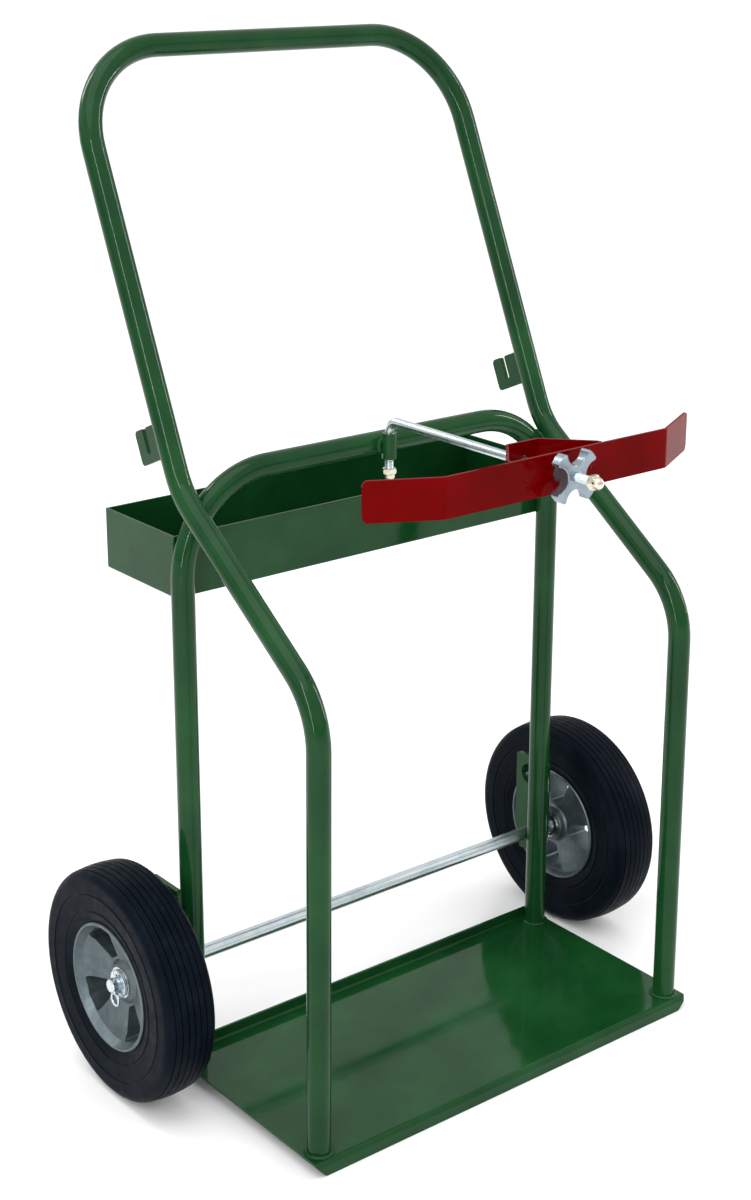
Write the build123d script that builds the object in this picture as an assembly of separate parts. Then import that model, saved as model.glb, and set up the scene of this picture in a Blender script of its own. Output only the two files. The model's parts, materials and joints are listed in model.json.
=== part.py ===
from build123d import *
import os
from math import cos, radians, sin, sqrt

# Two-cylinder gas welding cart, in millimetres.
# +X is to the right of someone facing the cart's front, +Y runs from the front to the
# handle side and +Z is up. The origin is on the floor, under the middle of the cart's box.

GAP = 0.3  # air between pieces that move past each other
RUNNING_FIT = 0.05  # radial clearance of a shaft in its bore

# ---- Driving sizes -----------------------------------------------------------------
TUBE_OD = 25.4
TUBE_R = TUBE_OD / 2
TUBE_WALL = 2.0
HALF_WIDTH = 254.0  # middle of the cart to the axis of a handle leg
FOOT_HALF_WIDTH = 257.5  # the front legs spread a little towards their feet
HOOP_HALF_WIDTH = 259.5  # middle of the cart to the axis of a rear upright
BAY_DEPTH = 227.0  # front leg axis to rear upright axis
HANDLE_REACH = 425.0  # front leg axis to handle bar axis
HANDLE_Z = 1113.0
NOSE_REACH = 121.0  # front leg axis to the tip of the clamp

FRONT_Y = (NOSE_REACH - HANDLE_REACH - TUBE_R) / 2
HOOP_Y = FRONT_Y + BAY_DEPTH
HANDLE_Y = FRONT_Y + HANDLE_REACH

# Main frame tube: front leg, forward slope, handle leg.
LOW_BEND_Z = 512.0
TOP_BEND_Y = FRONT_Y + 232.0
TOP_BEND_Z = 675.0
LEG_BEND_R = 90.0
HANDLE_CORNER_R = 108.0

# Rear hoop.
HOOP_Z = 691.0
HOOP_CORNER_R = 109.0  # clears the main frame's slope by a weld gap

# Base plate: one sheet, front edge folded down, rear edge folded up.
SHEET = 3.0
PLATE_TOP_Z = 16.5
PLATE_HALF = 275.0
PLATE_FRONT_Y = FRONT_Y - 20.5
FOLD_R = 3.0
PLATE_REAR_Y = HOOP_Y + TUBE_R + FOLD_R + GAP + SHEET
REAR_LIP_Z = 29.5
LIP_BEVEL = 12.0  # how far each end of the front lip is cut back at the floor
LIP_CORNER_R = 6.0
PLATE_CORNER_CUT = 3.5

# Tool tray behind the rear hoop.
TRAY_SHEET = 2.0
TRAY_HALF = 261.0
TRAY_FRONT_Y = HOOP_Y + TUBE_R
TRAY_DEPTH = 135.0
TRAY_BASE_Z = 560.0
TRAY_TOP_Z = 629.0
TRAY_FOLD_R = 3.0

# Hose hooks on the handle legs.
HOOK_THICK = 5.0
HOOK_REACH = 45.0  # out from the tube's surface
HOOK_HEIGHT = 38.0
HOOK_ABOVE_BEND = {"right": 50.0, "left": 42.0}  # welded on at slightly different heights
HOOK_SLOT = 7.0
HOOK_SLOT_DEPTH = 28.0
HOOK_SLOT_OUT = 26.0  # slot's middle, out from the tube's surface
HOOK_CORNER_R = 5.0

# Wheels and axle.
WHEEL_R = 132.0
WHEEL_X = 330.6
AXLE_R = 15.9 / 2
AXLE_Y = HOOP_Y + TUBE_R + AXLE_R + GAP
AXLE_Z = WHEEL_R
AXLE_HALF = 355.0
RIM_R = 72.5
RIM_LIP = 4.0
RIM_HALF = 28.0
TYRE_HALF = 31.0
SIDE_GROOVES_R = (86.0, 106.0)
SIDE_GROOVE = 2.0  # half its width
TREAD_GROOVES = 7
TREAD_GROOVE_PITCH = 7.6
TREAD_GROOVE_WIDTH = 1.2
TREAD_GROOVE_DEPTH = 1.6
TREAD_CROWN = 1.5
SHOULDER_R = 12.0
BOSS_R = 22.0
BOSS_OUT = 10.0  # boss face, outboard of the wheel's middle
BOSS_IN = 30.0  # boss face, inboard of the wheel's middle
BEARING_R = 17.5
BEARING_WIDTH = 11.0
BEARING_PROUD = 1.0
RACE_INNER_R = 11.2  # outside of a bearing's inner ring
RACE_OUTER_R = 14.4  # inside of its outer ring
BALL_R = 2.5
BALL_FIT = 0.02
BALL_COUNT = 9
WINDOW_COUNT = 4
WINDOW_NEAR = (28.0, 7.0)  # distance from the axle and half width at the inner end
WINDOW_FAR = (65.0, 21.0)
HUB_TURN = {"right": 3.0, "left": 56.0}  # where each wheel has stopped
WASHER_R = 15.0
WASHER_THICK = 3.0
PIN_R = 1.6
PIN_HOLE_R = 2.1
PIN_X = 348.5
PIN_EYE_R = 7.0
PIN_LEG_SPREAD = 4.5

# Axle brackets on the outer sides of the rear uprights.
BRACKET_THICK = 6.0
BRACKET_FRONT_Y = AXLE_Y - 22.0
BRACKET_REAR_Y = AXLE_Y + 33.0
BRACKET_LOW_Z = 100.0
BRACKET_TOP_Z = 230.0
BRACKET_BEVEL = (9.0, 32.0)  # each lower corner, along Y and Z
# spare holes: distance behind the axle, height and radius
BRACKET_HOLES = ((10.0, 206.0, 13.5), (3.0, 178.0, 7.0))

# Cylinder clamp: a rod that swings in a sleeve on the hoop's bar, and a strap on it.
ROD_R = 5.0
ROD_Z = 720.0
ROD_ELBOW_R = 14.0
SLEEVE_R = 8.25
SLEEVE_LOW_Z = 677.0
SLEEVE_TOP_Z = ROD_Z - ROD_ELBOW_R
PIVOT_Y = HOOP_Y - TUBE_R - SLEEVE_R
STRAP_FRONT_Y = FRONT_Y - 63.0
STRAP_THICK = 3.0
STRAP_HEIGHT = 42.0
STRAP_HALF_FLAT = 150.0
STRAP_WING = 80.0
STRAP_WING_ANGLE = 28.0
WEDGE_HALF_FLAT = 20.0
WEDGE_HALF_BASE = 64.0
WEDGE_DEPTH = 52.0
WEDGE_FLANGE = 24.0
KNOB_R = 30.0
KNOB_SCOOP_R = 13.5  # hollow between two arms
KNOB_SCOOP_OUT = 25.5  # middle of the hollow, from the rod
KNOB_BOSS_R = 10.0
KNOB_LENGTH = 24.0
KNOB_ARM_THICK = 11.0
NUT_FLATS = 14.3  # acorn nut across its flats
NUT_HEX = 6.5
NUT_HEIGHT = 14.5
NUT_DOME_R = 6.4
ROD_THREAD_HIDDEN = 9.0  # rod end inside the acorn nut
LOW_NUT_DROP = 11.0  # bare rod between the sleeve and its nut


# ---- Helpers -----------------------------------------------------------------------
def both_sides(right_shape):
    """The right-hand piece and its mirror image on the left."""
    return {"right": right_shape, "left": mirror(right_shape, about=Plane.YZ)}


def swept_bar(path, radius):
    """A round bar along a path."""
    section = Plane(path @ 0, z_dir=path % 0) * Circle(radius)
    return sweep(section, path=path)


def bent_tube(points, radii):
    """Round tube through the points, with one bend radius at each inner point."""
    path = FilletPolyline(*points, radius=radii)
    return swept_bar(path, TUBE_R) - swept_bar(path, TUBE_R - TUBE_WALL)


def disc(radius, low, high):
    """Round bar along +Z, from low to high."""
    return Pos(0, 0, low) * Cylinder(radius, high - low, align=(Align.CENTER, Align.CENTER, Align.MIN))


def ring(outer, inner, low, high):
    return disc(outer, low, high) - disc(inner, low - 1, high + 1)


def turned(outline):
    """A solid of revolution about Z, from points given as (radius, height)."""
    section = Plane.XZ * make_face(Polyline(*outline, close=True))
    return revolve(section, Axis.Z)


def on_axle(shape):
    """Lay a Z-axis shape on the axle in the right wheel's middle, its +Z pointing outboard."""
    return Pos(WHEEL_X, AXLE_Y, AXLE_Z) * Rot(0, 90, 0) * shape


def along_rod(shape, y):
    """Lay a Z-axis shape on the clamp rod at y, its +Z pointing to the front."""
    return Pos(0, y, ROD_Z) * Rot(90, 0, 0) * shape


def acorn_nut():
    """Hexagon nut closed by a dome. Its open face is at z = 0."""
    hexagon = extrude(RegularPolygon(NUT_FLATS / 2, 6, major_radius=False), NUT_HEX)
    corner_r = NUT_FLATS / sqrt(3)
    rounding = turned([(0, 0), (corner_r - 1.2, 0), (corner_r, 1), (corner_r, NUT_HEX - 1.5),
                       (NUT_FLATS / 2 - 0.5, NUT_HEX), (0, NUT_HEX)])
    dome_z = NUT_HEIGHT - NUT_DOME_R
    dome = disc(NUT_DOME_R, NUT_HEX - 0.5, dome_z) + Pos(0, 0, dome_z) * Sphere(NUT_DOME_R)
    return (hexagon & rounding) + (dome & disc(NUT_DOME_R, NUT_HEX - 0.5, NUT_HEIGHT))


# ---- Frame -------------------------------------------------------------------------
def main_frame_tube():
    """One tube up the front leg, back along the slope, round the handle and down again."""
    half_run = [
        (FOOT_HALF_WIDTH, FRONT_Y, 0),
        (HALF_WIDTH, FRONT_Y, LOW_BEND_Z),
        (HALF_WIDTH, TOP_BEND_Y, TOP_BEND_Z),
        (HALF_WIDTH, HANDLE_Y, HANDLE_Z),
    ]
    other_half = [(-x, y, z) for x, y, z in reversed(half_run)]
    radii = [LEG_BEND_R, LEG_BEND_R, HANDLE_CORNER_R]
    tube = bent_tube(half_run + other_half, radii + radii[::-1])
    below_plate = Pos(0, FRONT_Y, PLATE_TOP_Z) * Box(
        4 * FOOT_HALF_WIDTH, 4 * TUBE_OD, 2 * PLATE_TOP_Z, align=(Align.CENTER, Align.CENTER, Align.MAX))
    return tube - below_plate


def rear_hoop_tube():
    points = [
        (HOOP_HALF_WIDTH, HOOP_Y, PLATE_TOP_Z),
        (HOOP_HALF_WIDTH, HOOP_Y, HOOP_Z),
        (-HOOP_HALF_WIDTH, HOOP_Y, HOOP_Z),
        (-HOOP_HALF_WIDTH, HOOP_Y, PLATE_TOP_Z),
    ]
    return bent_tube(points, [HOOP_CORNER_R, HOOP_CORNER_R])


def base_plate():
    """One folded sheet: the front edge down to the floor, the rear edge up."""
    top_line = FilletPolyline(
        (PLATE_FRONT_Y, 0),
        (PLATE_FRONT_Y, PLATE_TOP_Z),
        (PLATE_REAR_Y - SHEET, PLATE_TOP_Z),
        (PLATE_REAR_Y - SHEET, REAR_LIP_Z),
        radius=[FOLD_R + SHEET, FOLD_R],
    )
    folded = Plane.YZ * make_face(offset(top_line, SHEET, side=Side.RIGHT))
    sheet = extrude(folded, PLATE_HALF, both=True)
    bevel_top = PLATE_TOP_Z - SHEET
    low_x = PLATE_HALF - LIP_BEVEL
    front_view = make_face(Polyline(
        (-low_x, 0), (low_x, 0), (PLATE_HALF, bevel_top), (PLATE_HALF, REAR_LIP_Z),
        (-PLATE_HALF, REAR_LIP_Z), (-PLATE_HALF, bevel_top), close=True,
    ))
    front_view = fillet(front_view.vertices().group_by(Axis.Y)[0], LIP_CORNER_R)
    depth = PLATE_REAR_Y - PLATE_FRONT_Y
    top_view = Rectangle(2 * PLATE_HALF, depth)
    top_view = Pos(0, (PLATE_FRONT_Y + PLATE_REAR_Y) / 2) * chamfer(top_view.vertices(), PLATE_CORNER_CUT)
    trimmed = sheet & extrude(Plane.XZ * front_view, 2 * depth, both=True)
    return trimmed & extrude(top_view, REAR_LIP_Z + 1)


def tray_block(margin, low):
    """Block with rounded bottom edges, inset by a margin from the tray's outside."""
    block = Pos(0, TRAY_FRONT_Y + margin, low) * Box(
        2 * (TRAY_HALF - margin), TRAY_DEPTH - 2 * margin, TRAY_TOP_Z - TRAY_BASE_Z,
        align=(Align.CENTER, Align.MIN, Align.MIN),
    )
    return fillet(block.edges().group_by(Axis.Z)[0], TRAY_FOLD_R - margin)


def tool_tray():
    return tray_block(0, TRAY_BASE_Z) - tray_block(TRAY_SHEET, TRAY_BASE_Z + TRAY_SHEET)


def hose_hook(above_bend):
    """Slotted plate on the back of the right handle leg, drawn out from the leg's axis."""
    plate = Pos(HOOK_REACH / 2 + TUBE_R, HOOK_HEIGHT / 2) * RectangleRounded(
        HOOK_REACH, HOOK_HEIGHT, HOOK_CORNER_R)
    root = Pos(HOOK_REACH / 4 + TUBE_R / 2, HOOK_HEIGHT / 2) * Rectangle(HOOK_REACH / 2 + TUBE_R, HOOK_HEIGHT)
    slot_x = TUBE_R + HOOK_SLOT_OUT
    slot_low = HOOK_HEIGHT - HOOK_SLOT_DEPTH
    slot = Pos(slot_x, slot_low + HOOK_SLOT / 2) * Circle(HOOK_SLOT / 2)
    slot += Pos(slot_x, HOOK_HEIGHT) * Rectangle(HOOK_SLOT, 2 * HOOK_SLOT_DEPTH - HOOK_SLOT)
    outline = (plate + root) - slot
    mouth = [v for v in outline.vertices()
             if abs(v.Y - HOOK_HEIGHT) < 0.01 and abs(abs(v.X - slot_x) - HOOK_SLOT / 2) < 0.01]
    outline = fillet(mouth, HOOK_CORNER_R / 2)
    leg = Vector(0, HANDLE_Y - TOP_BEND_Y, HANDLE_Z - TOP_BEND_Z).normalized()
    start = Vector(HALF_WIDTH, TOP_BEND_Y, TOP_BEND_Z) + leg * above_bend
    outward = Vector(0, leg.Z, -leg.Y)
    plane = Plane(origin=start, x_dir=outward, z_dir=outward.cross(leg))
    hook = extrude(plane * outline, HOOK_THICK / 2, both=True)
    leg_bar = Plane(origin=start, z_dir=leg) * Cylinder(TUBE_R, 4 * HOOK_HEIGHT)
    return hook - leg_bar


def axle_bracket():
    """Plate on the outer side of a rear upright, with the axle hole at its lower end."""
    front, rear, low = BRACKET_FRONT_Y, BRACKET_REAR_Y, BRACKET_LOW_Z
    bevel_y, bevel_z = BRACKET_BEVEL
    outline = make_face(Polyline(
        (front, low + bevel_z), (front + bevel_y, low), (rear - bevel_y, low),
        (rear, low + bevel_z), (rear, BRACKET_TOP_Z), (front, BRACKET_TOP_Z), close=True,
    ))
    outline = fillet(outline.vertices().group_by(Axis.Y)[-1], 4)
    outline -= Pos(AXLE_Y, AXLE_Z) * Circle(AXLE_R + RUNNING_FIT)
    for behind, hole_z, hole_r in BRACKET_HOLES:
        outline -= Pos(AXLE_Y + behind, hole_z) * Circle(hole_r)
    inner_x = HOOP_HALF_WIDTH + TUBE_R
    return Pos(inner_x, 0, 0) * extrude(Plane.YZ * outline, BRACKET_THICK)


# ---- Wheels and axle ---------------------------------------------------------------
def axle():
    rod = Rot(0, 90, 0) * disc(AXLE_R, -AXLE_HALF, AXLE_HALF)
    rod = chamfer(rod.edges().filter_by(GeomType.CIRCLE), 1.2)
    for side in (-1, 1):
        rod -= Pos(side * PIN_X, 0, 0) * Cylinder(PIN_HOLE_R, 4 * AXLE_R)
    return Pos(0, AXLE_Y, AXLE_Z) * rod


def axle_spacer():
    """Sleeve that holds the wheel off its bracket."""
    bracket_face = HOOP_HALF_WIDTH + TUBE_R + BRACKET_THICK
    bearing_face = WHEEL_X - BOSS_IN - BEARING_PROUD
    low = bracket_face - WHEEL_X
    high = bearing_face - WHEEL_X - GAP
    return on_axle(ring(RACE_INNER_R, AXLE_R + RUNNING_FIT, low, high))


def outer_washer():
    face = BOSS_OUT + BEARING_PROUD + GAP
    washer = ring(WASHER_R, AXLE_R + RUNNING_FIT, face, face + WASHER_THICK)
    return on_axle(chamfer(washer.edges().filter_by(GeomType.CIRCLE), 0.4))


def cotter_pin():
    """Split pin through the axle: an eye below, two legs opened above."""
    eye_z = -AXLE_R - PIN_EYE_R - 2 * PIN_R
    leg_z = AXLE_R + 1
    pin = Pos(0, 0, eye_z) * Rot(0, 90, 0) * Torus(PIN_EYE_R, PIN_R)
    pin += disc(PIN_R, eye_z + PIN_EYE_R, leg_z)
    for side in (-1, 1):
        leg = Polyline((0, 0, leg_z), (0, side * PIN_LEG_SPREAD, leg_z + PIN_LEG_SPREAD))
        pin += swept_bar(leg, 0.75 * PIN_R)
    return Pos(PIN_X, AXLE_Y, AXLE_Z) * pin


def tyre_side():
    """Outer side of the tyre from the rim outwards, as (radius, distance from its middle)."""
    points = [(RIM_R, RIM_HALF - 2.5)]
    for groove_r, wall in zip(SIDE_GROOVES_R, (TYRE_HALF - 2, TYRE_HALF)):
        points += [
            (groove_r - SIDE_GROOVE, wall - 0.2), (groove_r, wall - 1), (groove_r + SIDE_GROOVE, wall),
        ]
    return points


def tyre():
    wall_r = WHEEL_R - TREAD_CROWN - SHOULDER_R
    edge = TYRE_HALF - SHOULDER_R
    side = tyre_side()
    other_side = [(r, -h) for r, h in reversed(side)]
    outline = Wire([
        *Polyline(*side, (wall_r, TYRE_HALF)).edges(),
        CenterArc((wall_r, edge), SHOULDER_R, 90, -90).edge(),
        ThreePointArc((wall_r + SHOULDER_R, edge), (WHEEL_R, 0), (wall_r + SHOULDER_R, -edge)).edge(),
        CenterArc((wall_r, -edge), SHOULDER_R, 0, -90).edge(),
        *Polyline((wall_r, -TYRE_HALF), *other_side, side[0]).edges(),
    ])
    body = revolve(Plane.XZ * make_face(outline), Axis.Z)
    for step in range(TREAD_GROOVES):
        middle = (step - (TREAD_GROOVES - 1) / 2) * TREAD_GROOVE_PITCH
        low, high = middle - TREAD_GROOVE_WIDTH / 2, middle + TREAD_GROOVE_WIDTH / 2
        body -= ring(WHEEL_R + 5, WHEEL_R - TREAD_CROWN - TREAD_GROOVE_DEPTH, low, high)
    return body


def hub_window():
    """Cutter for one opening between two spokes, pointing along +X."""
    near_r, near_half = WINDOW_NEAR
    far_r, far_half = WINDOW_FAR
    corner_r = sqrt(far_r**2 - far_half**2)
    outline = Polygon(
        (near_r, -near_half), (corner_r, -far_half), (far_r, 0), (corner_r, far_half),
        (near_r, near_half), align=None,
    )
    outline = fillet(outline.vertices(), 3)
    return extrude(outline, 2 * RIM_HALF, both=True)


def wheel_hub():
    """Cast hub: rim, dished web with openings between its spokes, and a boss set inboard."""
    lip_r = RIM_R - RIM_LIP
    bore_r = AXLE_R + 2.5
    body = turned([
        (bore_r, BOSS_OUT - 1), (BOSS_R - 2, BOSS_OUT), (BOSS_R, BOSS_OUT - 1.5),
        (BOSS_R + 3, BOSS_OUT - 4), (lip_r - 12, RIM_HALF - 14), (lip_r - 4, RIM_HALF - 9),
        (lip_r, RIM_HALF - 2), (lip_r + 1, RIM_HALF), (RIM_R - 1, RIM_HALF), (RIM_R, RIM_HALF - 1),
        (RIM_R, 1 - RIM_HALF), (RIM_R - 1, -RIM_HALF), (lip_r + 1, -RIM_HALF),
        (lip_r, 2 - RIM_HALF), (lip_r - 2, 8 - RIM_HALF),
        (BOSS_R + 3, 8 - BOSS_IN), (BOSS_R + 0.5, 6 - BOSS_IN),
        (BOSS_R - 0.5, 1 - BOSS_IN), (BOSS_R - 2, -BOSS_IN), (bore_r, -BOSS_IN),
    ])
    body -= disc(BEARING_R, BOSS_OUT + BEARING_PROUD - BEARING_WIDTH, RIM_HALF)
    body -= disc(BEARING_R, -RIM_HALF - BOSS_IN, BEARING_WIDTH - BOSS_IN - BEARING_PROUD)
    for step in range(WINDOW_COUNT):
        body -= Rot(0, 0, 360 * step / WINDOW_COUNT) * hub_window()
    return body


def bearing_lows():
    """Low face of each bearing, outboard positive, from the wheel's middle."""
    return {
        "outer": BOSS_OUT + BEARING_PROUD - BEARING_WIDTH,
        "inner": -BOSS_IN - BEARING_PROUD,
    }


def ball_track(clearance):
    """Groove that the balls run in, at the middle of a bearing."""
    track_r = (RACE_INNER_R + RACE_OUTER_R) / 2
    return Pos(0, 0, BEARING_WIDTH / 2) * Torus(track_r, BALL_R + clearance)


def bearing_outer_ring():
    return ring(BEARING_R, RACE_OUTER_R, 0, BEARING_WIDTH) - ball_track(BALL_FIT)


def bearing_inner_ring():
    bore = AXLE_R + RUNNING_FIT
    return ring(RACE_INNER_R, bore, 0, BEARING_WIDTH) - ball_track(RUNNING_FIT)


def bearing_balls():
    track_r = (RACE_INNER_R + RACE_OUTER_R) / 2
    balls = []
    for step in range(BALL_COUNT):
        turn = radians(360 * step / BALL_COUNT)
        balls.append(Pos(track_r * cos(turn), track_r * sin(turn), BEARING_WIDTH / 2) * Sphere(BALL_R))
    return Compound(children=balls)


# ---- Clamp -------------------------------------------------------------------------
def pivot_sleeve():
    low, high = SLEEVE_LOW_Z, SLEEVE_TOP_Z
    return Pos(0, PIVOT_Y, 0) * ring(SLEEVE_R, ROD_R + RUNNING_FIT, low, high)


def clamp_rod():
    foot_z = SLEEVE_LOW_Z - LOW_NUT_DROP - ROD_THREAD_HIDDEN
    tip_y = FRONT_Y - NOSE_REACH + NUT_HEIGHT - ROD_THREAD_HIDDEN
    path = FilletPolyline(
        (0, PIVOT_Y, foot_z), (0, PIVOT_Y, ROD_Z), (0, tip_y, ROD_Z), radius=ROD_ELBOW_R)
    return swept_bar(path, ROD_R)


def nut_on_rod():
    """Acorn nut bored for the rod end that it hides."""
    return acorn_nut() - disc(ROD_R, -1, ROD_THREAD_HIDDEN)


def pivot_acorn_nut():
    return Pos(0, PIVOT_Y, SLEEVE_LOW_Z - LOW_NUT_DROP) * Rot(180, 0, 0) * nut_on_rod()


def rod_end_acorn_nut():
    return along_rod(nut_on_rod(), FRONT_Y - NOSE_REACH + NUT_HEIGHT)


def clamp_strap():
    """Flat bar with both ends bent back, drawn along its front face."""
    wing_x = STRAP_WING * cos(radians(STRAP_WING_ANGLE))
    wing_y = STRAP_WING * sin(radians(STRAP_WING_ANGLE))
    front = FilletPolyline(
        (-STRAP_HALF_FLAT - wing_x, STRAP_FRONT_Y + wing_y),
        (-STRAP_HALF_FLAT, STRAP_FRONT_Y), (STRAP_HALF_FLAT, STRAP_FRONT_Y),
        (STRAP_HALF_FLAT + wing_x, STRAP_FRONT_Y + wing_y), radius=8,
    )
    bar = extrude(make_face(offset(front, STRAP_THICK, side=Side.LEFT)), STRAP_HEIGHT)
    bar = Pos(0, 0, ROD_Z - STRAP_HEIGHT / 2) * bar
    tips = [e for e in bar.edges() if abs(e.center().X) > STRAP_HALF_FLAT + wing_x - STRAP_THICK
            and abs(e.length - STRAP_THICK) < 0.01 and abs(e.tangent_at(0).Z) < 0.01]
    bar = fillet(tips, 6)
    return bar - along_rod(disc(ROD_R + 0.6, -STRAP_THICK, 2 * STRAP_THICK), STRAP_FRONT_Y)


def wedge_bracket():
    """Folded bracket behind the strap that enters between the two cylinders."""
    back = STRAP_FRONT_Y + STRAP_THICK
    inside = FilletPolyline(
        (-WEDGE_HALF_BASE + WEDGE_FLANGE, back + STRAP_THICK), (-WEDGE_HALF_BASE, back + STRAP_THICK),
        (-WEDGE_HALF_FLAT, back + WEDGE_DEPTH), (WEDGE_HALF_FLAT, back + WEDGE_DEPTH),
        (WEDGE_HALF_BASE, back + STRAP_THICK), (WEDGE_HALF_BASE - WEDGE_FLANGE, back + STRAP_THICK),
        radius=3,
    )
    folded = extrude(make_face(offset(inside, STRAP_THICK, side=Side.LEFT)), STRAP_HEIGHT - 2)
    folded = Pos(0, 0, ROD_Z - STRAP_HEIGHT / 2 + 1) * folded
    return folded - along_rod(disc(ROD_R + 0.6, -WEDGE_DEPTH, WEDGE_DEPTH), back + WEDGE_DEPTH)


def hand_knob():
    """Star knob with four arms, on a boss that bears on the strap."""
    star = Circle(KNOB_R)
    for step in range(4):
        star -= Rot(0, 0, 90 * step) * Pos(KNOB_SCOOP_OUT, 0) * Circle(KNOB_SCOOP_R)
    star = fillet(star.vertices(), 2.5)
    arms = Pos(0, 0, KNOB_LENGTH - KNOB_ARM_THICK) * extrude(star, KNOB_ARM_THICK)
    arms = chamfer(arms.edges().group_by(Axis.Z)[-1], 0.8)
    boss = disc(KNOB_BOSS_R, 0, KNOB_LENGTH - KNOB_ARM_THICK / 2)
    knob = arms + boss - disc(ROD_R + RUNNING_FIT, -1, KNOB_LENGTH + 1)
    return along_rod(knob, STRAP_FRONT_Y)


# ---- Every piece, by name ----------------------------------------------------------
pieces = {
    "base_plate": base_plate(),
    "main_frame_tube": main_frame_tube(),
    "rear_hoop_tube": rear_hoop_tube(),
    "tool_tray": tool_tray(),
    "axle": axle(),
    "clamp_pivot_sleeve": pivot_sleeve(),
    "clamp_rod": clamp_rod(),
    "pivot_acorn_nut": pivot_acorn_nut(),
    "rod_end_acorn_nut": rod_end_acorn_nut(),
    "clamp_strap": clamp_strap(),
    "wedge_bracket": wedge_bracket(),
    "hand_knob": hand_knob(),
}
right_hand_pieces = {
    "axle_bracket": axle_bracket(),
    "axle_spacer": axle_spacer(),
    "outer_washer": outer_washer(),
    "cotter_pin": cotter_pin(),
    "tyre": on_axle(tyre()),
}
for place, low in bearing_lows().items():
    right_hand_pieces[place + "_bearing_outer_ring"] = on_axle(Pos(0, 0, low) * bearing_outer_ring())
    right_hand_pieces[place + "_bearing_inner_ring"] = on_axle(Pos(0, 0, low) * bearing_inner_ring())
    right_hand_pieces[place + "_bearing_balls"] = on_axle(Pos(0, 0, low) * bearing_balls())
for name, shape in right_hand_pieces.items():
    for side, copy in both_sides(shape).items():
        pieces[side + "_" + name] = copy
hub = wheel_hub()
for side in ("right", "left"):
    turned_hub = on_axle(Rot(0, 0, HUB_TURN[side]) * hub)
    pieces[side + "_wheel_hub"] = both_sides(turned_hub)[side]
    pieces[side + "_hose_hook"] = both_sides(hose_hook(HOOK_ABOVE_BEND[side]))[side]

os.makedirs("parts", exist_ok=True)
for name, shape in pieces.items():
    export_step(shape, "parts/" + name + ".step")
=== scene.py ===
"""Looks of the gas welding cart: paint, metal and rubber, weld beads, screw thread and seals,
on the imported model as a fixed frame, in a plain pale studio."""

import json
from math import cos, pi, radians, sin

import bmesh
import bpy
from mathutils import Matrix, Vector, bvhtree, noise


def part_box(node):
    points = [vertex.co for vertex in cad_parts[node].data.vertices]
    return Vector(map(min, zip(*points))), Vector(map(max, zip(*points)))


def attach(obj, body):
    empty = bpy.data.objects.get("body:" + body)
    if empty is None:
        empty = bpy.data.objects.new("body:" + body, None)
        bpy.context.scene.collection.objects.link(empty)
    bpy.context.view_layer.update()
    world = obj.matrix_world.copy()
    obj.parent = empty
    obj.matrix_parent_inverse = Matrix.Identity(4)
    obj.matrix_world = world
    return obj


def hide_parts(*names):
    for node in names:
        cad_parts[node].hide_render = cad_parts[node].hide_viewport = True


MM = 0.001
SIDES = {"left": -1, "right": 1}

# ---- Camera and light ----------------------------------------------------------------
CAMERA_PLACE = (-1.3290, -1.5908, 1.2493)
CAMERA_PITCH = -17.37  # degrees; negative looks down
CAMERA_TURN = -38.21  # degrees from +Y towards -X
CAMERA_LENS = 59.74  # mm, for a 36 mm sensor along the picture's long side
CAMERA_SHIFT = (0.0118, -0.0546)

FLOOR_HALF = 90.0
SKY_LOW = (0.30, 0.31, 0.32)  # at the horizon
SKY_HIGH = (1.0, 1.0, 1.0)  # overhead
SUN_POWER = 1.15
SUN_ANGLE = 60.0  # degrees across, for soft shadows
SUN_TILT = (10.0, -14.0)  # degrees about X and Y
# name: (place, size in x and y, power in watts), each lamp aimed at the cart's middle
LAMPS = {
    "strip": ((-2.6, -1.5, 1.6), (0.08, 2.6), 34.0),
    "window": ((-1.0, 2.6, 2.6), (0.5, 1.4), 20.0),
    "side": ((3.2, -1.0, 1.6), (0.10, 2.4), 34.0),
}
LAMP_AIM = Vector((0.0, 0.0, 0.55))

# ---- Details the CAD leaves to the looks ------------------------------------------------
HANDLE_LEAN = radians(23.78)  # the handle legs, back from upright
FOOT_BEAD_R = 3.0 * MM
CROSSING_BEAD_R = 3.2 * MM
THIN_BEAD_R = 2.2 * MM  # on sheet metal
BEAD_SIDES = 14
RIPPLE_PITCH = 2.2 * MM
RIPPLE_HEIGHT = 0.10  # of the bead's radius
WANDER = 0.22  # uneven width, of the bead's radius
BEAD_FLATNESS = 0.8
FOOT_BEAD_LIFT = 0.8 * MM
CROSSING_LOOP_R = 8.5 * MM
SLEEVE_LOOP_R = 7.5 * MM
HOOK_WELD_HALF = 17 * MM
THREAD_PITCH = 25.4 / 16 * MM
THREAD_DEPTH = 0.62 * MM
THREAD_EASE = 0.06 * MM  # crest below the bar's surface
THREAD_LENGTH = 78 * MM
FOOT_THREAD_LENGTH = 19 * MM
ELBOW_R = 14 * MM  # of the bent clamp rod, to its centre line
RING_WALL = 3.1 * MM  # thickness of a bearing's outer ring
SEAL_AIR = 0.05 * MM
SPOT_X = 44 * MM  # each spot weld, from the strap's middle
SPOT_R = 4.6 * MM


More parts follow.
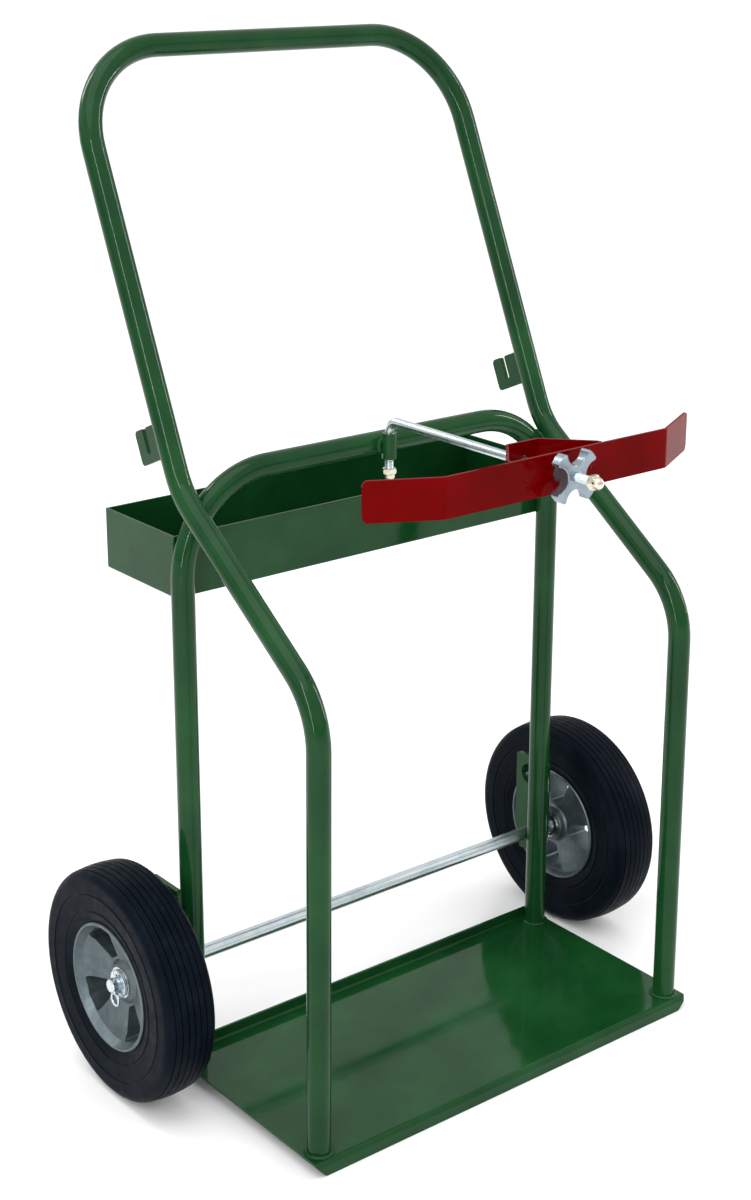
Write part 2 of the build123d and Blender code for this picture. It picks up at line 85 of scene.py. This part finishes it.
# ---- Materials -----------------------------------------------------------------------
class Finish:
    """A Principled material with object coordinates, which are metres in the row frame."""

    def __init__(self, name, **constants):
        self.material = bpy.data.materials.new(name)
        self.material.use_nodes = True
        self.tree = self.material.node_tree
        self.shader = self.tree.nodes["Principled BSDF"]
        for socket, value in constants.items():
            self.shader.inputs[socket.replace("_", " ")].default_value = value
        self.place = self.tree.nodes.new("ShaderNodeTexCoord").outputs["Object"]

    def link(self, source, target):
        self.tree.links.new(source, target)

    def stretched(self, factors):
        node = self.tree.nodes.new("ShaderNodeMapping")
        node.inputs["Scale"].default_value = factors
        self.link(self.place, node.inputs["Vector"])
        return node.outputs["Vector"]

    def noise(self, size, detail=3.0, roughness=0.55, place=None):
        """Noise whose features are about size metres across."""
        node = self.tree.nodes.new("ShaderNodeTexNoise")
        node.inputs["Scale"].default_value = 1.0 / size
        node.inputs["Detail"].default_value = detail
        node.inputs["Roughness"].default_value = roughness
        self.link(place or self.place, node.inputs["Vector"])
        return node.outputs["Fac"]

    def ramp(self, factor, stops):
        """Colour or grey by position: stops is a list of (position, value)."""
        node = self.tree.nodes.new("ShaderNodeValToRGB")
        points = node.color_ramp.elements
        while len(points) < len(stops):
            points.new(0.5)
        for point, (position, value) in zip(points, stops):
            point.position = position
            point.color = (*value, 1.0) if isinstance(value, tuple) else (value, value, value, 1.0)
        self.link(factor, node.inputs["Fac"])
        return node.outputs["Color"]

    def mix(self, factor, first, second, blend="MIX"):
        node = self.tree.nodes.new("ShaderNodeMix")
        node.data_type = "RGBA"
        node.blend_type = blend
        for name, value in (("Factor", factor), ("A", first), ("B", second)):
            socket = [s for s in node.inputs if s.name == name and s.enabled][0]
            if hasattr(value, "links"):
                self.link(value, socket)
            else:
                socket.default_value = value
        return [s for s in node.outputs if s.enabled][0]

    def colour(self, source):
        self.link(source, self.shader.inputs["Base Color"])

    def roughness(self, source):
        self.link(source, self.shader.inputs["Roughness"])

    def bump(self, *layers):
        """Each layer is (height source, depth in metres)."""
        normal = None
        for source, depth in layers:
            node = self.tree.nodes.new("ShaderNodeBump")
            node.inputs["Strength"].default_value = 1.0
            node.inputs["Distance"].default_value = depth
            self.link(source, node.inputs["Height"])
            if normal is not None:
                self.link(normal, node.inputs["Normal"])
            normal = node.outputs["Normal"]
        self.link(normal, self.shader.inputs["Normal"])
        return self.material


def enamel(name, dark, middle, light, gloss):
    """Thick spray paint: slow colour drift, orange peel and a little dust in the coat."""
    paint = Finish(name, Coat_Weight=gloss, Coat_Roughness=0.03, Specular_IOR_Level=gloss)
    drift = paint.ramp(paint.noise(0.09, 4.0), [(0.3, dark), (0.52, middle), (0.75, light)])
    specks = paint.ramp(paint.noise(0.0016, 1.0), [(0.74, 0.0), (0.80, 1.0)])
    dusty = tuple(0.8 * v + 0.01 for v in light)
    paint.colour(paint.mix(specks, drift, (*dusty, 1.0)))
    paint.roughness(paint.ramp(paint.noise(0.03, 5.0), [(0.3, 0.07), (0.7, 0.15)]))
    peel = paint.noise(0.0035, 2.0)
    waves = paint.noise(0.022, 2.0)
    return paint.bump((waves, 0.00012), (peel, 0.000025), (specks, 0.00003))


def green_paint():
    dark, middle, light = (0.003, 0.034, 0.008), (0.005, 0.046, 0.011), (0.009, 0.064, 0.016)
    return enamel("green_paint", dark, middle, light, gloss=0.13)


def red_paint():
    dark, middle, light = (0.10, 0.0, 0.0002), (0.135, 0.0, 0.0004), (0.18, 0.0005, 0.001)
    return enamel("red_paint", dark, middle, light, gloss=0.025)


def zinc_plate():
    """Bright zinc with faint blue and straw stains and drawing lines."""
    zinc = Finish("zinc_plate", Metallic=1.0)
    stain = zinc.ramp(zinc.noise(0.03, 3.0), [
        (0.30, (0.50, 0.58, 0.62)), (0.52, (0.60, 0.68, 0.71)), (0.75, (0.68, 0.69, 0.63))])
    zinc.colour(stain)
    drawn = zinc.noise(0.003, 2.0, place=zinc.stretched((0.04, 0.2, 1.0)))
    zinc.roughness(zinc.ramp(drawn, [(0.3, 0.24), (0.7, 0.34)]))
    return zinc.bump((zinc.noise(0.0009, 2.0), 0.000004))


def passivated_zinc():
    """Zinc with the yellow tint of its sealing bath, on the acorn nuts."""
    zinc = Finish("passivated_zinc", Metallic=1.0)
    zinc.colour(zinc.ramp(zinc.noise(0.006, 3.0), [
        (0.30, (0.55, 0.53, 0.45)), (0.50, (0.70, 0.65, 0.50)), (0.75, (0.74, 0.72, 0.64))]))
    zinc.roughness(zinc.ramp(zinc.noise(0.004, 2.0), [(0.3, 0.14), (0.7, 0.26)]))
    return zinc.bump((zinc.noise(0.0012, 2.0), 0.00001))


def cast_metal(name, low, high, rough_low, rough_high, grain_depth):
    """Cast aluminium: grain, stains and soft pits."""
    cast = Finish(name, Metallic=0.85)
    cast.colour(cast.ramp(cast.noise(0.014, 6.0, 0.65), [(0.3, low), (0.7, high)]))
    cast.roughness(cast.ramp(cast.noise(0.006, 4.0), [(0.3, rough_low), (0.7, rough_high)]))
    pits = cast.ramp(cast.noise(0.0022, 2.0), [(0.25, 0.0), (0.42, 1.0)])
    return cast.bump((cast.noise(0.0012, 3.0, 0.7), grain_depth), (pits, grain_depth))


def cast_aluminium():
    return cast_metal("cast_aluminium", (0.08, 0.11, 0.12), (0.14, 0.17, 0.18), 0.36, 0.52, 0.00005)


def polished_casting():
    return cast_metal("polished_casting", (0.20, 0.25, 0.29), (0.32, 0.38, 0.43), 0.18, 0.30, 0.000012)


def tyre_rubber():
    """Moulded rubber: bluish bloom, fine grain and rub marks."""
    rubber = Finish("tyre_rubber", Specular_IOR_Level=0.035)
    bloom = rubber.ramp(rubber.noise(0.035, 5.0, 0.6), [
        (0.30, (0.0012, 0.0028, 0.0055)),
        (0.55, (0.0024, 0.0052, 0.0092)),
        (0.78, (0.0060, 0.0100, 0.0160))])
    rubber.colour(bloom)
    rubber.roughness(rubber.ramp(rubber.noise(0.01, 4.0), [(0.3, 0.36), (0.7, 0.54)]))
    return rubber.bump((rubber.noise(0.02, 3.0), 0.00012), (rubber.noise(0.0011, 3.0), 0.00003))


def bearing_steel():
    steel = Finish("bearing_steel", Metallic=1.0)
    steel.colour(steel.ramp(steel.noise(0.006, 3.0), [(0.3, (0.50, 0.50, 0.51)), (0.7, (0.66, 0.66, 0.66))]))
    steel.roughness(steel.ramp(steel.noise(0.003, 3.0), [(0.3, 0.14), (0.7, 0.26)]))
    return steel.bump((steel.noise(0.0007, 2.0), 0.00002))


def seal_rubber():
    seal = Finish("seal_rubber", Specular_IOR_Level=0.35)
    seal.colour(seal.ramp(seal.noise(0.004, 3.0), [(0.3, 0.010), (0.7, 0.022)]))
    seal.roughness(seal.ramp(seal.noise(0.003, 3.0), [(0.3, 0.45), (0.7, 0.62)]))
    return seal.bump((seal.noise(0.0008, 2.0), 0.00004))


def pale_floor():
    floor = Finish("pale_floor")
    floor.colour(floor.ramp(floor.noise(0.9, 3.0), [(0.3, 0.86), (0.7, 0.90)]))
    floor.roughness(floor.ramp(floor.noise(0.3, 3.0), [(0.3, 0.62), (0.7, 0.74)]))
    return floor.bump((floor.noise(0.05, 2.0), 0.00005))


# ---- Meshes --------------------------------------------------------------------------
def new_piece(name, mesh_builder, material, body):
    mesh = bmesh.new()
    mesh_builder(mesh)
    bmesh.ops.recalc_face_normals(mesh, faces=mesh.faces)
    data = bpy.data.meshes.new(name)
    mesh.to_mesh(data)
    mesh.free()
    for face in data.polygons:
        face.use_smooth = True
    data.materials.append(material)
    piece = bpy.data.objects.new(name, data)
    bpy.context.scene.collection.objects.link(piece)
    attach(piece, body)
    return piece


def stitch(mesh, rings, closed):
    """Faces between rings of vertices, and a cap on each end where the row isn't closed."""
    pairs = list(zip(rings, rings[1:]))
    if closed:
        pairs.append((rings[-1], rings[0]))
    else:
        mesh.faces.new(rings[0])
        mesh.faces.new(rings[-1])
    for first, second in pairs:
        for i in range(len(first)):
            j = (i + 1) % len(first)
            mesh.faces.new((first[i], first[j], second[j], second[i]))


def weld_bead(points, normal, radius, closed=False):
    """A mesh builder: a rippled bead along points, flattest along normal."""
    last = len(points) - 1

    def build(mesh):
        rings = []
        walked = 0.0
        for i, point in enumerate(points):
            before = points[i - 1] if i or closed else point
            after = points[(i + 1) % len(points)] if i < last or closed else point
            along = (after - before).normalized()
            across = along.cross(normal).normalized()
            up = across.cross(along)
            walked += (point - before).length if i else 0.0
            ripple = RIPPLE_HEIGHT * (1 - (walked / RIPPLE_PITCH) % 1.0)
            wander = WANDER * noise.noise(point * 260)
            end = 1.0 if closed else min(1.0, 0.35 + 0.2 * min(i, last - i))
            r = radius * (0.95 + ripple + wander) * end
            ring = []
            for k in range(BEAD_SIDES):
                turn = 2 * pi * k / BEAD_SIDES
                height = BEAD_FLATNESS * r * sin(turn)
                ring.append(mesh.verts.new(point + across * (r * cos(turn)) + up * height))
            rings.append(ring)
        stitch(mesh, rings, closed)

    return build


def circle_points(middle, first_axis, second_axis, radius, count):
    steps = [2 * pi * k / count for k in range(count)]
    return [middle + first_axis * (radius * cos(t)) + second_axis * (radius * sin(t)) for t in steps]


def line_points(start, end, step=0.7 * MM):
    count = max(4, round((end - start).length / step))
    return [start.lerp(end, k / count) for k in range(count + 1)]


def lathe(profile, place, segments=96):
    """A mesh builder: the closed profile of (radius, height) points turned about place's Z."""

    def build(mesh):
        rings = []
        for k in range(segments):
            turn = 2 * pi * k / segments
            rings.append([
                mesh.verts.new(place @ Vector((r * cos(turn), r * sin(turn), h))) for r, h in profile])
        stitch(mesh, rings, closed=True)

    return build


def middle_of(node):
    low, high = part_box(node)
    return (Vector(low) + Vector(high)) / 2


def closest_place(first, second, sign):
    """Where two CAD nodes come nearest on one side of the cart, and the way from one to the other."""
    nodes = cart["nodes"]
    mesh = bmesh.new()
    mesh.from_mesh(nodes[second].data)
    tree = bvhtree.BVHTree.FromBMesh(mesh)
    mesh.free()
    best = None
    for vertex in nodes[first].data.vertices:
        if vertex.co.x * sign > 0:
            point, normal, _, gap = tree.find_nearest(vertex.co)
            if best is None or gap < best[0]:
                best = (gap, point, normal)
    return best[1].copy(), best[2].copy()


# ---- Weld beads ----------------------------------------------------------------------
AXIS_X, AXIS_Y, AXIS_Z = Vector((1, 0, 0)), Vector((0, 1, 0)), Vector((0, 0, 1))


def add_bead(paint, name, points, normal, radius, closed=False):
    new_piece(name, weld_bead(points, normal, radius, closed), paint, "frame")


def weld_feet(paint, tube_r):
    """A ring round the foot of each of the four legs."""
    for tube, place in (("main_frame_tube", "front"), ("rear_hoop_tube", "rear")):
        low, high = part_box(tube)
        for side, sign in SIDES.items():
            middle = Vector((sign * (high[0] - tube_r), low[1] + tube_r, low[2] + FOOT_BEAD_LIFT))
            ring = circle_points(middle, AXIS_X, AXIS_Y, tube_r + FOOT_BEAD_LIFT, 150)
            add_bead(paint, f"{side}_{place}_foot_weld", ring, AXIS_Z, FOOT_BEAD_R, closed=True)


def weld_crossings(paint):
    """A loop of weld where each side of the main frame passes the hoop, and one behind the sleeve."""
    for side, sign in SIDES.items():
        middle, out = closest_place("main_frame_tube", "rear_hoop_tube", sign)
        across = out.orthogonal().normalized()
        ring = circle_points(middle, across, out.cross(across), CROSSING_LOOP_R, 60)
        add_bead(paint, f"{side}_crossing_weld", ring, out, CROSSING_BEAD_R, closed=True)
    sleeve_low, sleeve_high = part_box("clamp_pivot_sleeve")
    hoop_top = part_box("rear_hoop_tube")[1][2]
    middle = Vector((0, sleeve_high[1], (hoop_top + sleeve_low[2]) / 2))
    ring = circle_points(middle, AXIS_X, AXIS_Z, SLEEVE_LOOP_R, 60)
    add_bead(paint, "sleeve_weld", ring, AXIS_Y, CROSSING_BEAD_R, closed=True)


def weld_tray(paint):
    """Two short beads where each end of the tray meets its upright."""
    low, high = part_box("tool_tray")
    for side, sign in SIDES.items():
        foot = Vector((sign * (high[0] + 0.2 * MM), low[1] - 0.6 * MM, 0))
        spans = {"top": (high[2] - 26 * MM, high[2] - MM), "low": (low[2] + 4 * MM, low[2] + 22 * MM)}
        for place, (bottom, top) in spans.items():
            points = line_points(foot + AXIS_Z * bottom, foot + AXIS_Z * top)
            add_bead(paint, f"{side}_tray_{place}_weld", points, AXIS_Y, THIN_BEAD_R)


def weld_brackets(paint, tube_r):
    """Two beads behind the line where each upright touches its axle bracket."""
    hoop_low, hoop_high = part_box("rear_hoop_tube")
    touch_y = hoop_low[1] + tube_r
    for side, sign in SIDES.items():
        low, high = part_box(f"{side}_axle_bracket")
        x = sign * (hoop_high[0] - 1.2 * MM)
        for part, bottom, top in (("low", 0.14, 0.42), ("high", 0.66, 0.97)):
            heights = [low[2] + f * (high[2] - low[2]) for f in (bottom, top)]
            points = line_points(*(Vector((x, touch_y + 6 * MM, z)) for z in heights))
            add_bead(paint, f"{side}_bracket_{part}_weld", points, AXIS_Y, THIN_BEAD_R)


def weld_hooks(paint, tube_r):
    """A bead on each face of a hose hook, along its root on the handle leg."""
    tube_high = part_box("main_frame_tube")[1]
    leg = Vector((0, sin(HANDLE_LEAN), cos(HANDLE_LEAN)))
    out = Vector((0, cos(HANDLE_LEAN), -sin(HANDLE_LEAN)))
    for side in SIDES:
        node = f"{side}_hose_hook"
        low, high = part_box(node)
        middle = middle_of(node)
        top = Vector((middle.x, tube_high[1] - tube_r, tube_high[2] - tube_r))
        root = top + leg * leg.dot(middle - top) + out * (tube_r - 0.2 * MM)
        for face, x in (("left", -1), ("right", 1)):
            start = root + AXIS_X * x * ((high[0] - low[0]) / 2 + 0.6 * MM)
            points = line_points(start - leg * HOOK_WELD_HALF, start + leg * HOOK_WELD_HALF)
            add_bead(paint, f"{side}_hook_{face}_weld", points, out, THIN_BEAD_R)


def add_welds(paint):
    """Beads at every joint of the welded frame, painted over with the frame."""
    hoop_low, hoop_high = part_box("rear_hoop_tube")
    tube_r = (hoop_high[1] - hoop_low[1]) / 2
    weld_feet(paint, tube_r)
    weld_crossings(paint)
    weld_tray(paint)
    weld_brackets(paint, tube_r)
    weld_hooks(paint, tube_r)


# ---- Small parts -----------------------------------------------------------------------
def add_spot_marks(paint):
    """The dished prints of two spot welds on the strap's face, over the wedge's flanges."""
    low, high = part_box("clamp_strap")
    centre = 0.01 * MM
    profile = [
        (centre, -0.5 * MM), (SPOT_R, -0.5 * MM), (SPOT_R, 0.05 * MM), (SPOT_R - 0.7 * MM, 0.35 * MM),
        (SPOT_R - 1.5 * MM, 0.22 * MM), (SPOT_R - 2.2 * MM, 0.06 * MM), (centre, 0.05 * MM)]
    for side, sign in SIDES.items():
        middle = Vector((sign * SPOT_X, low[1], (low[2] + high[2]) / 2 - 2 * MM))
        place = Matrix.Translation(middle) @ Matrix.Rotation(radians(90), 4, "X")
        new_piece(f"{side}_spot_mark", lathe(profile, place, 48), paint, "clamp_jaw")


def add_bearing_seals(rubber):
    """A dished rubber seal in the open face of each bearing."""
    for side, sign in SIDES.items():
        for place, outward in (("outer", 1), ("inner", -1)):
            node = f"{side}_{place}_bearing_outer_ring"
            low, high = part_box(node)
            inner_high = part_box(f"{side}_{place}_bearing_inner_ring")[1]
            middle = middle_of(node)
            outer_r = (high[2] - low[2]) / 2 - RING_WALL - SEAL_AIR
            inner_r = inner_high[2] - middle.z + 2 * SEAL_AIR
            face = (high[0] - low[0]) / 2
            profile = [
                (inner_r, face - 1.3 * MM), (outer_r, face - 1.1 * MM), (outer_r, face - 0.2 * MM),
                (outer_r - 0.5 * MM, face - 0.2 * MM), (outer_r - 0.9 * MM, face - 0.6 * MM),
                (inner_r + 0.5 * MM, face - 0.6 * MM), (inner_r, face - 0.3 * MM)]
            turn = Matrix.Rotation(radians(90 * sign * outward), 4, "Y")
            new_piece(f"{side}_{place}_seal", lathe(profile, Matrix.Translation(middle) @ turn),
                      rubber, f"{side}_wheel")


def thread_radius(crest, walked, turn):
    """Radius of a 60-degree thread at a distance along the bar and an angle round it."""
    phase = (walked / THREAD_PITCH - turn / (2 * pi)) % 1.0
    flank = abs(2 * phase - 1)
    return crest - THREAD_DEPTH * min(1.0, max(0.0, 1.25 * flank - 0.125))


def rod_stations(foot_z, pivot_y, rod_z, tip_y):
    """Stations along the bent bar, foot to tip: (place, way along, whether it is threaded)."""
    fine = THREAD_PITCH / 8
    stations = []
    straight_top = rod_z - ELBOW_R
    for k in range(round(FOOT_THREAD_LENGTH / fine) + 1):
        stations.append((Vector((0, pivot_y, foot_z + k * fine)), AXIS_Z, True))
    for k in range(1, 9):
        z = foot_z + FOOT_THREAD_LENGTH + (straight_top - foot_z - FOOT_THREAD_LENGTH) * k / 9
        stations.append((Vector((0, pivot_y, z)), AXIS_Z, False))
    for k in range(25):
        turn = radians(90 * k / 24)
        way = Vector((0, -sin(turn), cos(turn)))
        out = Vector((0, cos(turn), sin(turn)))
        stations.append((Vector((0, pivot_y - ELBOW_R, straight_top)) + out * ELBOW_R, way, False))
    thread_y = tip_y + THREAD_LENGTH
    shank_y = pivot_y - ELBOW_R
    for k in range(1, 20):
        stations.append((Vector((0, shank_y + (thread_y - shank_y) * k / 20, rod_z)), -AXIS_Y, False))
    for k in range(round(THREAD_LENGTH / fine) + 1):
        stations.append((Vector((0, thread_y - k * fine, rod_z)), -AXIS_Y, True))
    return stations


def add_threaded_rod(zinc):
    """The clamp rod with its screw threads, in place of the plain bar."""
    low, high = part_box("clamp_rod")
    rod_r = (high[0] - low[0]) / 2
    segments = 36
    stations = rod_stations(low[2], high[1] - rod_r, high[2] - rod_r, low[1])

    def build(mesh):
        rings = []
        walked = 0.0
        previous = stations[0][0]
        for middle, way, threaded in stations:
            walked += (middle - previous).length
            previous = middle
            up = AXIS_X.cross(way)
            ring = []
            for k in range(segments):
                turn = 2 * pi * k / segments
                r = thread_radius(rod_r - THREAD_EASE, walked, turn) if threaded else rod_r
                ring.append(mesh.verts.new(middle + AXIS_X * (r * cos(turn)) + up * (r * sin(turn))))
            rings.append(ring)
        stitch(mesh, rings, closed=False)

    rod = new_piece("threaded_clamp_rod", build, zinc, "clamp_arm")
    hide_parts("clamp_rod")


# ---- Scene ---------------------------------------------------------------------------
def finish_nodes(finishes, special):
    """Give each CAD node its slot's material, or its own where it has one."""
    slots = {part["node"]: part["material_slot"] for part in cart["record"]["subparts"]}
    for name, node in cart["nodes"].items():
        node.data.materials.clear()
        node.data.materials.append(special.get(name, finishes[slots[name]]))


def add_camera():
    data = bpy.data.cameras.new("camera")
    data.sensor_width = 36.0
    data.lens = CAMERA_LENS
    data.shift_x, data.shift_y = CAMERA_SHIFT
    data.clip_end = 4 * FLOOR_HALF
    camera = bpy.data.objects.new("camera", data)
    camera.location = CAMERA_PLACE
    camera.rotation_euler = (radians(90 + CAMERA_PITCH), 0, radians(CAMERA_TURN))
    bpy.context.scene.collection.objects.link(camera)
    bpy.context.scene.camera = camera


def add_light(name, kind, power):
    data = bpy.data.lights.new(name, kind)
    data.energy = power
    lamp = bpy.data.objects.new(name, data)
    bpy.context.scene.collection.objects.link(lamp)
    return lamp


def add_lamps():
    """An even white studio with three narrow lamps for streaks along the tubes."""
    sun = add_light("sun", "SUN", SUN_POWER)
    sun.data.angle = radians(SUN_ANGLE)
    sun.rotation_euler = (radians(SUN_TILT[0]), radians(SUN_TILT[1]), 0)
    for name, (place, size, power) in LAMPS.items():
        lamp = add_light(name, "AREA", power)
        lamp.data.shape = "RECTANGLE"
        lamp.data.size, lamp.data.size_y = size
        lamp.location = place
        lamp.rotation_euler = (LAMP_AIM - lamp.location).to_track_quat("-Z", "Y").to_euler()


def add_sky():
    """A plain sky that is dim at the horizon and white overhead, as under a soft ceiling."""
    world = bpy.data.worlds.new("studio")
    world.use_nodes = True
    tree = world.node_tree
    place = tree.nodes.new("ShaderNodeTexCoord")
    split = tree.nodes.new("ShaderNodeSeparateXYZ")
    ramp = tree.nodes.new("ShaderNodeValToRGB")
    low, high = ramp.color_ramp.elements
    low.position, low.color = 0.0, (*SKY_LOW, 1.0)
    high.position, high.color = 0.35, (*SKY_HIGH, 1.0)
    tree.links.new(place.outputs["Generated"], split.inputs["Vector"])
    tree.links.new(split.outputs["Z"], ramp.inputs["Fac"])
    tree.links.new(ramp.outputs["Color"], tree.nodes["Background"].inputs["Color"])
    bpy.context.scene.world = world


def add_floor(material):
    corners = [(-FLOOR_HALF, -FLOOR_HALF), (FLOOR_HALF, -FLOOR_HALF), (FLOOR_HALF, FLOOR_HALF),
               (-FLOOR_HALF, FLOOR_HALF)]
    data = bpy.data.meshes.new("floor")
    data.from_pydata([(x, y, 0.0) for x, y in corners], [], [(0, 1, 2, 3)])
    data.materials.append(material)
    floor = bpy.data.objects.new("floor", data)
    bpy.context.scene.collection.objects.link(floor)


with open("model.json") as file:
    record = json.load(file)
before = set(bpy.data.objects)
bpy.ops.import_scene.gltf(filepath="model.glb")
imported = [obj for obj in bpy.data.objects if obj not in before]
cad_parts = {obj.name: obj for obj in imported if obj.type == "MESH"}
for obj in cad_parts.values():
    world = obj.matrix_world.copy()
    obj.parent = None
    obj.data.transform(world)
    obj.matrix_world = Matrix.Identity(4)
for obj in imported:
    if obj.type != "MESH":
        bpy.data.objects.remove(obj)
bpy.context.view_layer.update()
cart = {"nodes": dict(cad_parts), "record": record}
finishes = {
    "green_paint": green_paint(),
    "red_paint": red_paint(),
    "zinc_plate": zinc_plate(),
    "cast_aluminium": cast_aluminium(),
    "tyre_rubber": tyre_rubber(),
    "bearing_steel": bearing_steel(),
}
nut_zinc = passivated_zinc()
finish_nodes(finishes, {
    "hand_knob": polished_casting(), "pivot_acorn_nut": nut_zinc, "rod_end_acorn_nut": nut_zinc})
add_welds(finishes["green_paint"])
add_spot_marks(finishes["red_paint"])
add_bearing_seals(seal_rubber())
add_threaded_rod(finishes["zinc_plate"])
add_floor(pale_floor())
add_lamps()
add_sky()
add_camera()
bpy.context.scene.view_settings.view_transform = "Standard"
